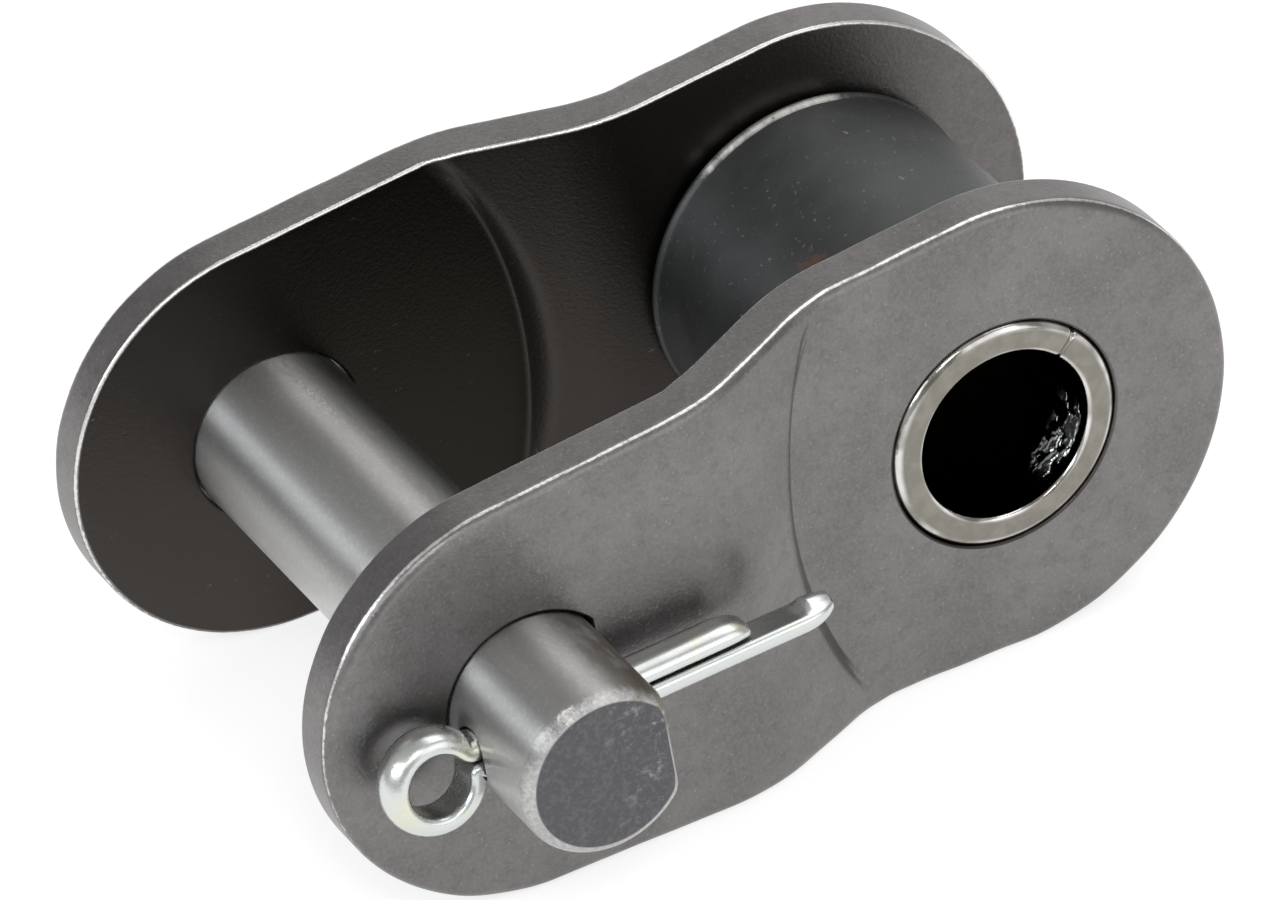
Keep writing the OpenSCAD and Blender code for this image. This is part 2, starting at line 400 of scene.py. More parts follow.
def bush_finish(colours, sizes):
    """Turned rims, polished and with painted highlights on their rounds; painted shade in the bore and round
    the outside, and painted glints in the bore.
    """
    finish = Finish("bush_steel_turned")
    radius = finish.round_axis()
    from_end = BUSH_HALF - abs(finish.y)
    lines = finish.noise(1.5, 2, stretch=(1, 0.2, 1))
    blotch = finish.noise(2.5, 3)
    bore = (radius - BORE_R).rise(*BORE_SKIN)
    # painted shade: near-black in the bore and in the groove between the bush and the plates
    bore_and_groove_shade = (bore * from_end.rise(*BORE_SHADE) + from_end.rise(*GROOVE_SHADE)).rise(0.2, 0.9)
    tone = finish.vary(blotch.rise(0.35, 0.7), colours.bush, 0.9, 1.08)
    # polish and painted highlights: both rims' rounds made lighter all round, broken by noise
    rounds = (BUSH_R - radius).rise(*OUTER_ROUND) + (radius - BORE_R).rise(*INNER_ROUND)
    tone = finish.mix(rounds * (0.3 + finish.noise(0.9, 2)).rise(0.6, 0.95), tone, colours.worn_and_highlight)
    # painted glints: bright patches on one side of the bore, near its mouth
    glint_patch = finish.facing(sizes.painted_glint_turn, BORE_R).rise(0.84, 0.97) * bore
    glint_patch = glint_patch * from_end.rise(*GLINTS_START) * from_end.rise(*GLINTS_STOP)
    painted_glints = finish.noise(1.9, 2).rise(0.42, 0.56) * glint_patch
    ripples = finish.noise(3.6, 1)
    bore_shade_and_glints = finish.mix(painted_glints, colours.deep_shade, colours.drop)
    finish.set(Base_Color=finish.mix(bore_and_groove_shade, tone, bore_shade_and_glints), Metallic=1.0,
               Roughness=0.34 + 0.1 * (lines - 0.5) - 0.19 * rounds + 0.16 * painted_glints)
    finish.bump(blotch + 0.4 * lines + painted_glints * (3 + 12 * ripples), 0.01)
    return finish.material


def roller_finish(colours, sizes):
    """Dark blue-grey satin steel with faint marks round it, rims rubbed bright with a painted highlight on
    one side, and a rust stain.
    """
    finish = Finish("roller_steel_dark")
    marks = finish.noise(2.2, 3, stretch=(0.6, 4, 0.6))
    clouds = finish.noise(0.5, 3)
    tone = finish.vary(clouds.rise(0.3, 0.7), colours.roller, 0.9, 1.1)
    rim, slope = mm(sizes.roller_rim), mm(sizes.lip_slope)
    lip = (ROLLER_HALF - abs(finish.y)).rise(rim + 1.3 * slope, rim + slope)
    # painted highlight and burnish on the rims, on the side that faces the given turn
    side = finish.facing(sizes.burnish_and_highlight, ROLLER_R)
    patches = finish.noise(1.6, 4, stretch=(1, 0.4, 1), roughness=0.65)
    burnish_and_highlight = (lip * side.rise(0.72, 0.98) * (0.1 + 1.5 * patches)).rise(0.45, 0.9)
    tone = finish.mix(burnish_and_highlight, tone, colours.worn_and_highlight)
    specks = finish.noise(7, 2).rise(0.66, 0.76)
    tone = finish.mix(specks * 0.3, tone, colours.worn_and_highlight)
    from_spot = finish.node("ShaderNodeVectorMath", {"operation": "DISTANCE"},
                            {0: finish.place, 1: RUST_SPOT}, out="Value")
    stain = (finish.noise(3, 4) + from_spot.rise(*RUST_SPREAD) * 0.25).rise(0.66, 0.76)
    finish.set(Base_Color=finish.mix(stain * 0.8, tone, colours.rust), Metallic=1.0 - 0.5 * stain,
               Roughness=0.44 + 0.15 * (marks - 0.5) + 0.1 * (clouds - 0.5))
    finish.bump(marks, 0.004, spread=1.1)
    return finish.material


def pin_finish(colours):
    """Ground steel with fine marks round it, a sandy rim and a dark sheared end face with pale flecks."""
    finish = Finish("pin_steel_ground")
    bands = finish.noise(1.1, 2, stretch=(1, 0.08, 1))
    sand = finish.noise(8, 3)
    from_end = PIN_HALF - abs(finish.y - PIN_NEAR - PIN_HALF)
    rim = from_end.rise(*PIN_RIM)
    end = from_end.rise(*PIN_FACE)
    right = finish.x - PIN_X
    flecks = finish.noise(2.6, 5, roughness=0.7).rise(0.53, 0.7) * (0.12 + 0.88 * right.rise(*FLECK_SIDE))
    tone = finish.vary(bands.rise(0.3, 0.7), colours.pin, 0.9, 1.06)
    tone = finish.mix(sand.rise(0.5, 0.65) * 0.35, tone, shade(colours.pin, 1.35))
    tone = finish.mix(rim * sand.rise(0.35, 0.7) * 0.6, tone, shade(colours.pin, 0.55))
    stained = right.rise(*STAIN_SIDE) * finish.z.rise(*STAIN_TOP)
    stained = stained * (-PLATE_OUT - finish.y).rise(*STAIN_STARTS)
    stain = finish.noise(1.6, 5, stretch=(1, 0.5, 1)).rise(0.36, 0.58) * stained
    tone = finish.mix(stain * 0.8, tone, colours.stain)
    face = finish.vary(sand.rise(0.45, 0.65) * 0.5, colours.pin_end, 1.0, 1.5)
    face = finish.mix(flecks * 0.8, face, shade(colours.pin, 0.7))
    finish.set(Base_Color=finish.mix(end, tone, face), Metallic=1.0,
               Roughness=0.29 + 0.1 * (bands - 0.5) + 0.12 * end - 0.06 * rim + 0.1 * stain)
    finish.bump(0.2 * bands + (rim + end) * (sand + flecks), 0.006, spread=1.4)
    return finish.material


def zinc_finish(colours):
    """Bright zinc plate, pale and a little blue, with a yellowish bloom here and there."""
    finish = Finish("split_pin_zinc_plated")
    bloom = finish.noise(0.8, 3).rise(0.5, 0.7)
    drawn = finish.noise(4, 2, stretch=(0.3, 2, 2))
    finish.set(Base_Color=finish.mix(bloom * 0.5, colours.zinc, colours.zinc_tint), Metallic=1.0,
               Roughness=0.27 + 0.12 * (drawn - 0.5))
    finish.bump(drawn, 0.004)
    return finish.material


FLOOR_GLOW = 0.7


def floor_finish(colours):
    """Matt pale floor with a glow of its own, so that the picture's ground is white."""
    finish = Finish("floor_pale")
    finish.set(Base_Color=colours.floor, Roughness=0.9, Emission_Color=(1.0, 1.0, 1.0),
               Emission_Strength=FLOOR_GLOW)
    return finish.material


# Meshes, in millimetres

class Skin:
    """Points and faces of one piece; one mark holds its edges' wear and painted highlights, the other the
    painted shade on its inner faces and holes' walls.
    """

    def __init__(self):
        self.points, self.faces = [], []
        self.marks = {"wear": [], "film": []}

    def add(self, points, wear=0.0, film=0.0):
        """Adds points and gives their numbers."""
        start = len(self.points)
        self.points.extend(np.asarray(points, float).tolist())
        for name, mark in (("wear", wear), ("film", film)):
            self.marks[name].extend(np.broadcast_to(mark, len(points)).tolist())
        return np.arange(start, len(self.points))

    def strip(self, first, second):
        """Quads between two rings of as many points."""
        ahead, beyond = np.roll(first, -1), np.roll(second, -1)
        self.faces.extend(np.stack([first, ahead, beyond, second], axis=1).tolist())

    def strips(self, rings, closed=False):
        for first, second in zip(rings, rings[1:] + rings[:1] if closed else rings[1:]):
            self.strip(first, second)

    def fan(self, ring, tip):
        """Triangles from a ring to one point."""
        self.faces.extend([int(a), int(b), int(tip)] for a, b in zip(ring, np.roll(ring, -1)))

    def piece(self, name, material):
        """The finished object, with its faces turned outwards."""
        mesh = bpy.data.meshes.new(name)
        mesh.from_pydata((np.array(self.points) * MM).tolist(), [], self.faces)
        for mark, amounts in self.marks.items():
            values = mesh.attributes.new(mark, "FLOAT", "POINT").data
            values.foreach_set("value", np.array(amounts, np.float32))
        shell = bmesh.new()
        shell.from_mesh(mesh)
        bmesh.ops.recalc_face_normals(shell, faces=shell.faces)
        shell.to_mesh(mesh)
        shell.free()
        mesh.shade_smooth()
        mesh.materials.append(material)
        piece = bpy.data.objects.new(name, mesh)
        bpy.context.scene.collection.objects.link(piece)
        return piece


def stand_for(piece, node, body):
    """The piece takes the node's place."""
    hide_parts(node)
    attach(piece, body)


TINY = 1e-9  # kept under a division, where nought would fail


def soft_min(a, b, k):
    """The lesser of two heights, with the edge between them rounded over k."""
    gap = np.clip(k - np.abs(a - b), 0, None)
    return np.minimum(a, b) - gap ** 2 / (4 * np.maximum(k, TINY))


def soft_max(a, b, k):
    return -soft_min(-a, -b, k)


def wobble(count, waves, seed):
    """A smooth closed row of numbers from about -1 to 1."""
    random = np.random.default_rng(seed)
    turn = np.linspace(0, 2 * math.pi, count, endpoint=False)
    total = np.zeros(count)
    for wave in waves:
        total += random.normal() * np.cos(wave * turn) + random.normal() * np.sin(wave * turn)
    return total / max(np.abs(total).max(), TINY)


CREASE_POINTS = 70
# Rows of points beside a relief's foot, in millimetres out from it: on the flat first, then up the wall
CREASE_ROWS = (-0.12, -0.05, 0.0, 0.03, 0.07, 0.12, 0.18, 0.25, 0.33, 0.42, 0.54)
CREASE_BELT = (-0.2, 0.64)  # other points keep out of this belt


class PlateForm:
    """Heights of a cranked plate's two faces over the link's middle plane; x is measured from the pin."""

    def __init__(self, sizes):
        self.lean = sizes.crank_angle
        self.outer_bend = mm(sizes.bend + sizes.thickness)
        self.bend = mm(sizes.bend)
        self.bush_out = PLATE_IN + mm(sizes.thickness)
        self.pin_in = PLATE_OUT - mm(sizes.thickness)
        self.step = PLATE_OUT - self.bush_out
        bend_sum = self.bend + self.outer_bend
        slope = (self.step - bend_sum * (1 - math.cos(self.lean))) / math.sin(self.lean)
        self.run = bend_sum * math.sin(self.lean) + slope * math.cos(self.lean)
        self.turn = self.outer_bend * math.sin(self.lean) + slope * math.cos(self.lean) / 2 - self.run / 2
        self.middle = BUSH_END_R + mm(sizes.swing_room) + mm(sizes.web) / 2
        self.relief = mm(sizes.relief)
        self.relief_place = mm(sizes.web) / 2 + self.relief
        self.wall = math.tan(sizes.relief_lean)
        self.crest, self.crease = mm(sizes.crest), mm(sizes.crease)

    def bow(self, along, r):
        """How far a bend of radius r, and the slope behind it, have left the flat that they start from."""
        along = np.clip(along, 0, None)
        end = r * math.sin(self.lean)
        bent = r - np.sqrt(r ** 2 - np.minimum(along, end) ** 2)
        return bent + np.clip(along - end, 0, None) * math.tan(self.lean)

    def rise(self, along, across):
        """Height over the bush end's outer face; along runs from the crank's middle towards the bush."""
        slope = np.where(along < self.turn, self.step - self.bow(along + self.run / 2, self.outer_bend),
                         self.bow(self.run / 2 - along, self.bend))
        past = np.hypot(along - self.relief_place, across) - self.relief
        wall = soft_max(past, 0.0, self.crease + self.crest * (across / BUSH_END_R) ** 4) / self.wall
        return soft_min(slope, wall, np.minimum(self.crest, 2 * np.minimum(slope, wall)))

    def inner_relief_x(self):
        """Middle of the inner face's curved relief, along X."""
        return self.middle - self.relief_place - PITCH

    def outer(self, x, z):
        return self.bush_out + self.rise(x - self.middle, z)

    def inner(self, x, z):
        return self.pin_in - self.rise(self.middle - x, z)

    def crease_rows(self, outer):
        """Points along the foot of a relief and up its wall, close enough to draw a crisp line."""
        side = 1 if outer else -1
        swing = np.arcsin(BUSH_END_R / self.relief)
        turns = np.linspace(-swing, swing, CREASE_POINTS)
        rows = []
        for past in CREASE_ROWS:
            r = self.relief + past
            x = self.middle + side * (self.relief_place - r * np.cos(turns))
            rows.append(np.stack([x, r * np.sin(turns)], 1))
        return np.concatenate(rows)


def outline_loop(spacing):
    """Points round a plate's outline and their outward directions, in x from the pin and z."""
    turn = math.pi / 2 + SIDE_LEAN
    points, outward = [], []

    def arc(centre, r, start, end):
        for a in np.linspace(start, end, int(r * (end - start) / spacing), endpoint=False):
            outward.append((math.cos(a), math.sin(a)))
            points.append((centre + r * math.cos(a), r * math.sin(a)))

    def side(start, end, a):
        start, end = np.array(start), np.array(end)
        for s in np.linspace(0, 1, int(PITCH / spacing), endpoint=False):
            outward.append((math.cos(a), math.sin(a)))
            points.append(start + (end - start) * s)

    def tangent(centre, r, a):
        return centre + r * math.cos(a), r * math.sin(a)

    arc(PITCH, BUSH_END_R, -turn, turn)
    side(tangent(PITCH, BUSH_END_R, turn), tangent(0, PIN_END_R, turn), turn)
    arc(0, PIN_END_R, turn, 2 * math.pi - turn)
    side(tangent(0, PIN_END_R, -turn), tangent(PITCH, BUSH_END_R, -turn), -turn)
    return np.array(points), np.array(outward)


HOLE_STEPS = 180
LEAST_COSINE = 1e-6  # a direction with less doesn't meet a flat that faces plus X


class Hole:
    """A round hole through a plate, with a flat side towards plus X where flat is given."""

    def __init__(self, centre_x, r, flat=math.inf):
        self.centre = np.array([centre_x, 0.0])
        self.r, self.flat = r, flat
        self.turns = np.linspace(0, 2 * math.pi, HOLE_STEPS, endpoint=False)
        if flat < r:
            corner = math.acos(flat / r)
            self.turns = np.sort(np.concatenate([self.turns, [corner, -corner % (2 * math.pi)]]))

    def radius(self, turns, grow=0.0):
        side = np.cos(turns)
        flat = np.where(side > LEAST_COSINE, (self.flat + grow) / np.maximum(side, LEAST_COSINE), math.inf)
        return np.minimum(self.r + grow, flat)

    def loop(self, grow=0.0):
        r = self.radius(self.turns, grow)
        return self.centre + np.stack([r * np.cos(self.turns), r * np.sin(self.turns)], 1)

    def clear(self, points, grow):
        """Which points lie outside the hole."""
        off = points - self.centre
        return np.hypot(off[:, 0], off[:, 1]) > self.radius(np.arctan2(off[:, 1], off[:, 0]), grow)


# Spacings of a plate's points, in millimetres
FACE_GRID = 0.5
CRANK_GRID = 0.16
CRANK_MARGIN = 0.4  # how far the crank's closer grid goes beyond its bends
EDGE_SPACING = 0.15
GRID_INSET = 0.1  # room between the grid and the borders
WELD = 1e-6  # points nearer than this are one
INSIDE_BORDER = 1  # the triangulation's own number for "only inside the border"


def on_plate(spots, side, height):
    """Points in the link's frame, from x and z measured from the pin and a height over the middle plane."""
    return np.stack([spots[:, 0] - PITCH, side * height, spots[:, 1]], 1)


def face_grid(form, outer):
    """Points over the whole face: an even grid, closer rows over the crank and along the relief's foot."""
    half = BUSH_END_R
    rough = np.stack(np.meshgrid(np.arange(-PIN_END_R, PITCH + BUSH_END_R, FACE_GRID),
                                 np.arange(-half, half, FACE_GRID)), -1).reshape(-1, 2)
    start = form.middle - form.run / 2 - CRANK_MARGIN
    end = form.middle + form.run / 2 + CRANK_MARGIN
    rough = rough[(rough[:, 0] < start) | (rough[:, 0] > end)]
    close = np.stack(np.meshgrid(np.arange(start, end, CRANK_GRID),
                                 np.arange(-half, half, 2 * CRANK_GRID)), -1).reshape(-1, 2)
    rows = form.crease_rows(outer)
    side = 1 if outer else -1
    past = np.hypot((close[:, 0] - form.middle) * side - form.relief_place, close[:, 1]) - form.relief
    close = close[(past < CREASE_BELT[0]) | (past > CREASE_BELT[1])]
    return np.concatenate([rough, close, rows])


def plate_face(skin, form, side, outer, edge, outward, holes, roll, rim):
    """One face of a plate; gives the numbers of its outline's and its holes' points."""
    border = edge - outward * roll[:, None]
    loops = [border] + [hole.loop(rim) for hole in holes]
    grid = face_grid(form, outer)
    inset = ((edge[None] - grid[:, None]) * outward[None]).sum(-1).min(1)
    keep = inset > roll.max() + GRID_INSET
    for hole in holes:
        keep &= hole.clear(grid, rim + GRID_INSET)
    flat = np.concatenate(loops + [grid[keep]])
    links, start = [], 0
    for loop in loops:
        links += [(start + i, start + (i + 1) % len(loop)) for i in range(len(loop))]
        start += len(loop)
    spots, _, triangles, origin, _, _ = delaunay_2d_cdt(
        [Vector(spot) for spot in flat], links, [], INSIDE_BORDER, WELD)
    spots = np.array([tuple(p) for p in spots])
    triangles = np.array(triangles)
    middles = spots[triangles].mean(1)
    inside = np.ones(len(triangles), bool)
    for hole in holes:
        inside &= hole.clear(middles, rim)
    height = (form.outer if outer else form.inner)(spots[:, 0], spots[:, 1])
    # painted shade on the inner face, none on the outer
    numbers = skin.add(on_plate(spots, side, height), film=0.0 if outer else 1.0)
    skin.faces.extend(numbers[triangles[inside]].tolist())
    place = {old: new for new, olds in enumerate(origin) for old in olds}
    rings, start = [], 0
    for loop in loops:
        rings.append(numbers[[place[start + i] for i in range(len(loop))]])
        start += len(loop)
    return rings


ROLL_STEPS = np.linspace(0, math.pi / 2, 10)[1:]
WALL_STEPS = (0.05, 0.2, 0.4, 0.6, 0.8, 0.95)
# How unevenly the edges are rolled: share of the roll, waves round the plate, seeds of the two faces
ROLL_SWAY = 0.12
ROLL_WAVES = range(3, 40)
OUTER_SEED, INNER_SEED = 11, 21
# Where round each roll the metal is rubbed bright and carries a painted highlight line, and how widely, in
# radians
OUTER_RUB_AND_HIGHLIGHT = (1.15, 0.2)
INNER_RUB_AND_HIGHLIGHT = (0.8, 0.8)


def plate_skin(sizes, side, holes):
    """A whole plate: side is -1 for the near one and 1 for the far one."""
    form, skin = PlateForm(sizes), Skin()
    edge, outward = outline_loop(EDGE_SPACING)
    rim = mm(sizes.hole_rim)
    rolls = [mm(roll) * (1 + ROLL_SWAY * wobble(len(edge), ROLL_WAVES, seed + side))
             for roll, seed in ((sizes.outer_roll, OUTER_SEED), (sizes.inner_roll, INNER_SEED))]
    faces = [plate_face(skin, form, side, outer, edge, outward, holes, roll, rim)
             for outer, roll in ((True, rolls[0]), (False, rolls[1]))]

    def wall(place, outer_roll, inner_roll, first, last, wear, film):
        """Rings from the outer face's border round its roll, down the wall and round the inner roll."""
        outside, inside, heights = [], [], []
        for rings, roll, height, sign, (rubbed_and_highlight_at, spread) in (
                (outside, outer_roll, form.outer, -1, OUTER_RUB_AND_HIGHLIGHT),
                (inside, inner_roll, form.inner, 1, INNER_RUB_AND_HIGHLIGHT)):
            for t in ROLL_STEPS:
                spots = place(roll * (1 - math.sin(t)))
                level = height(spots[:, 0], spots[:, 1]) + sign * roll * (1 - math.cos(t))
                # edge wear and painted highlight at one place round the roll
                rubbed_and_highlight = wear * math.exp(-((t - rubbed_and_highlight_at) / spread) ** 2)
                rings.append(skin.add(on_plate(spots, side, level), rubbed_and_highlight, film))
            heights.append(level)
        spots, (top, foot) = place(0.0), heights
        between = [skin.add(on_plate(spots, side, top + (foot - top) * s), film=film) for s in WALL_STEPS]
        skin.strips([first] + outside + between + inside[::-1] + [last])

    def outline(inset):
        return edge - outward * np.broadcast_to(inset, len(edge))[:, None]

    # the outline's wall carries edge wear with painted highlights; the holes' walls carry painted shade
    wall(outline, *rolls, faces[0][0], faces[1][0], wear=1.0, film=0.0)
    for hole, first, last in zip(holes, faces[0][1:], faces[1][1:]):
        wall(hole.loop, rim, rim, first, last, wear=0.0, film=1.0)
    return skin


def rounded(centre_r, centre_y, r, start, end, steps=7):
    """Points of a rounded corner in a turned profile, as radius and Y; angles in degrees."""
    turns = np.radians(np.linspace(start, end, steps))
    return [(centre_r + r * math.cos(a), centre_y + r * math.sin(a)) for a in turns]


def ring_profile(r_in, r_out, half, inner_rim, outer_rim, waist=()):
    """Closed profile of a ring with rounded rims, as radius and Y; waist is its outside between the rims."""
    return (rounded(r_in + inner_rim, half - inner_rim, inner_rim, 180, 90)
            + rounded(r_out - outer_rim, half - outer_rim, outer_rim, 90, 0)
            + list(waist)
            + rounded(r_out - outer_rim, outer_rim - half, outer_rim, 0, -90)
            + rounded(r_in + inner_rim, inner_rim - half, inner_rim, -90, -180))


RIM_ZONE = 0.5  # how far in from a ring's ends its points can sink along Y


def ring_skin(profile, turns, sink=None):
    """A ring turned about Y. sink says how far each turn's points draw back towards the profile's middle."""
    skin = Skin()
    profile = np.array(profile)
    middle_r = (profile[:, 0].min() + profile[:, 0].max()) / 2
    half = np.abs(profile[:, 1]).max()
    sink = np.zeros(len(turns)) if sink is None else sink
    rings = []
    for r, y in profile:
        r_turned = r - np.sign(r - middle_r) * sink
        y_turned = np.where(abs(y) > half - RIM_ZONE, y - np.sign(y) * sink, y)
        rings.append(skin.add(np.stack([r_turned * np.cos(turns), np.broadcast_to(y_turned, len(turns)),
                                        r_turned * np.sin(turns)], 1)))
    skin.strips(rings, closed=True)
    return skin


ROUND_STEPS = 192


def even_turns(extra=()):
    """Angles all round, with extra ones among them."""
    turns = np.linspace(0, 2 * math.pi, ROUND_STEPS, endpoint=False)
    return np.unique(np.concatenate([turns, np.mod(extra, 2 * math.pi)]).round(9))


WAIST_STEPS = 8


def roller_waist(sizes):
    """The roller's outside between its rims, which stand a little over the waist."""
    rim, lip, slope = mm(sizes.roller_rim), mm(sizes.lip), mm(sizes.lip_slope)
    foot = [(ROLLER_R - lip * (1 - math.cos(math.pi * t)) / 2, ROLLER_HALF - rim - slope * t)
            for t in np.linspace(0, 1, WAIST_STEPS)[1:]]
    foot.append((ROLLER_R - lip, ROLLER_HALF - rim - 2 * slope))
    return foot + [(r, -y) for r, y in reversed(foot)]


FLAT_CORNER = 0.22  # softness of the flat's long corners
FLAT_INSET = 0.5  # how far the flat draws in at the rounded end, as a share of the round
CORNER_TURNS = np.radians([-2, -1, -0.4, 0, 0.4, 1, 2])  # extra points beside each corner
FACE_RINGS = (0.2, 0.4, 0.6, 0.8, 0.95)
END_RINGS, FLAT_RINGS, BARREL_RINGS = 8, 14, 24


def pin_skin(sizes):
    """The pin: a turned bar with rounded ends, and a flat along its near end."""
    skin = Skin()
    flat = PIN_R - mm(sizes.flat_depth)
    corner = math.acos(flat / PIN_R)
    turns = even_turns(np.concatenate([CORNER_TURNS + corner, CORNER_TURNS - corner]))
    side = np.maximum(np.cos(turns), LEAST_COSINE)

    def ring(y, inset=0.0, flatted=False, scale=1.0):
        r = np.full(len(turns), PIN_R - inset)
        if flatted:
            r = soft_min(r, (flat - FLAT_INSET * inset) / side, FLAT_CORNER)
        return skin.add(np.stack([PIN_X + scale * r * np.cos(turns), np.full(len(turns), y),
                                  scale * r * np.sin(turns)], 1))

    end_round, shoulder = mm(sizes.end_round), -mm(sizes.shoulder)
    bend = [(end_round * (1 - math.cos(t)), end_round * (1 - math.sin(t)))
            for t in np.linspace(0, math.pi / 2, END_RINGS)]
    face = [ring(PIN_NEAR, end_round, True, s) for s in FACE_RINGS]
    start = [ring(PIN_NEAR + depth, inset, True) for depth, inset in bend]
    barrel = [ring(y, 0, True) for y in np.linspace(PIN_NEAR + 2 * end_round, shoulder, FLAT_RINGS)]
    barrel += [ring(y) for y in np.linspace(shoulder, PIN_FAR - 2 * end_round, BARREL_RINGS)]
    end = [ring(PIN_FAR - depth, inset) for depth, inset in reversed(bend)]
    back = [ring(PIN_FAR, end_round, False, s) for s in reversed(FACE_RINGS)]
    skin.strips(face + start + barrel + end + back)
    skin.fan(face[0], skin.add([(PIN_X, PIN_NEAR, 0)])[0])
    skin.fan(back[-1], skin.add([(PIN_X, PIN_FAR, 0)])[0])
    return skin


SHARP_EDGE = math.radians(28)
DRILL_STEPS, DRILL_RINGS = 48, 9


def drill(piece, r):
    """Cuts the split pin's hole through the pin, along X."""
    cutter = Skin()
    turns = np.linspace(0, 2 * math.pi, DRILL_STEPS, endpoint=False)
    places = np.linspace(PIN_X - 2 * PIN_R, PIN_X + 2 * PIN_R, DRILL_RINGS)
    rings = [cutter.add(np.stack([np.full(len(turns), x), SPLIT_Y + r * np.cos(turns), r * np.sin(turns)], 1))
             for x in places]
    cutter.strips(rings)
    for end in (0, -1):
        cutter.fan(rings[end], cutter.add([(places[end], SPLIT_Y, 0)])[0])
    tool = cutter.piece("hole_cutter", piece.data.materials[0])
    cut = piece.modifiers.new("hole", "BOOLEAN")
    cut.object, cut.operation, cut.solver = tool, "DIFFERENCE", "EXACT"
    drilled = bpy.data.meshes.new_from_object(piece.evaluated_get(bpy.context.evaluated_depsgraph_get()))
    if len(drilled.vertices) == len(piece.data.vertices):
        raise RuntimeError("The split pin's hole was not cut")
    piece.modifiers.remove(cut)
    piece.data = drilled
    bpy.data.objects.remove(tool)
    drilled.shade_smooth()
    drilled.set_sharp_from_angle(angle=SHARP_EDGE)


# Counts of points along the wire and round its section
SHORT_LEG_STEPS, LONG_LEG_STEPS, NECK_STEPS, EYE_STEPS, TIP_STEPS = 30, 40, 12, 64, 9
BOW_STEPS, BRIM_STEPS, FLAT_STEPS = 21, 4, 9
# Shapes of the wire's tips, as shares of its full size
TIP_CROWDING = 1.6  # above 1, a tip's points draw together towards its end
SHORT_TIP_HEIGHT, SHORT_TIP_WIDTH = 0.35, 0.6
LONG_TIP_TAPER = 0.7
DOME_RISE = 6  # above 1, the long tip's dome is at its full height before the end


def wire_path(sizes):
    """Middle of the wire's flat side from the short leg's tip round the eye to the long leg's tip.

    Gives points in X and Z from the pin's axis, the directions of the wire's round side, and each
    point's distances from the short and the long leg's tip."""
    gap, far, drop = mm(sizes.leg_gap) / 2, mm(sizes.eye_reach), mm(sizes.eye_drop)
    eye_r = EYE_OUT - WIRE_R
    eye_x = EYE_LEFT - PIN_X + EYE_OUT
    neck = eye_x + far
    short_tip, long_tip = PIN_R + mm(sizes.short_leg), LONG_TIP - PIN_X
    points, rounds = [], []

    def leg(xs, side):
        for x in xs:
            points.append((x, side * gap))
            rounds.append((0, side))

    def bend(side):
        """Radius of the neck's bend, and the angle round the eye where it meets the eye."""
        off = gap + side * drop
        r = (far ** 2 + off ** 2 - eye_r ** 2) / (2 * (eye_r - off))
        return r, math.atan2(off + r, far)

    def neck_bend(side):
        r, meet = bend(side)
        for a in np.linspace(0, math.pi / 2 - meet, NECK_STEPS, endpoint=False)[::side]:
            points.append((neck - r * math.sin(a), side * (gap + r - r * math.cos(a))))
            rounds.append((math.sin(a), side * math.cos(a)))

    tip = mm(sizes.tip)
    ends = tip * np.linspace(0, 1, TIP_STEPS) ** TIP_CROWDING
    leg(short_tip - ends, 1)
    leg(np.linspace(short_tip - tip, neck, SHORT_LEG_STEPS)[1:-1], 1)
    neck_bend(1)
    for a in np.linspace(bend(1)[1], 2 * math.pi - bend(-1)[1], EYE_STEPS):
        points.append((eye_x + eye_r * math.cos(a), eye_r * math.sin(a) - drop))
        rounds.append((math.cos(a), math.sin(a)))
    neck_bend(-1)
    leg(np.linspace(neck, long_tip - tip, LONG_LEG_STEPS)[1:-1], -1)
    leg(long_tip - ends[::-1], -1)
    points = np.array(points)
    along = np.concatenate([[0], np.cumsum(np.hypot(*np.diff(points, axis=0).T))])
    return points, np.array(rounds), along, along[-1] - along


def wire_section(edge):
    """The half-round section: across, up from its flat side, and how fully each point joins in a dome."""
    bow = np.linspace(-math.pi / 2, math.pi / 2, BOW_STEPS)
    bow_y, bow_rise = np.sin(bow) * WIRE_R, edge + np.cos(bow) * (WIRE_R - edge)
    brim = np.linspace(0, math.pi / 2, BRIM_STEPS)[:-1]
    brim_y, brim_rise = WIRE_R - edge + edge * np.sin(brim), edge - edge * np.cos(brim)
    flat_y = np.linspace(brim_y[0], -brim_y[0], FLAT_STEPS)[1:-1]
    across = np.concatenate([-brim_y, bow_y, brim_y[::-1], flat_y])
    rise = np.concatenate([brim_rise, bow_rise, brim_rise[::-1], np.zeros(len(flat_y))])
    dome = np.zeros(len(across))
    dome[-len(flat_y):] = 1 - (flat_y / brim_y[0]) ** 2
    return across, rise, dome


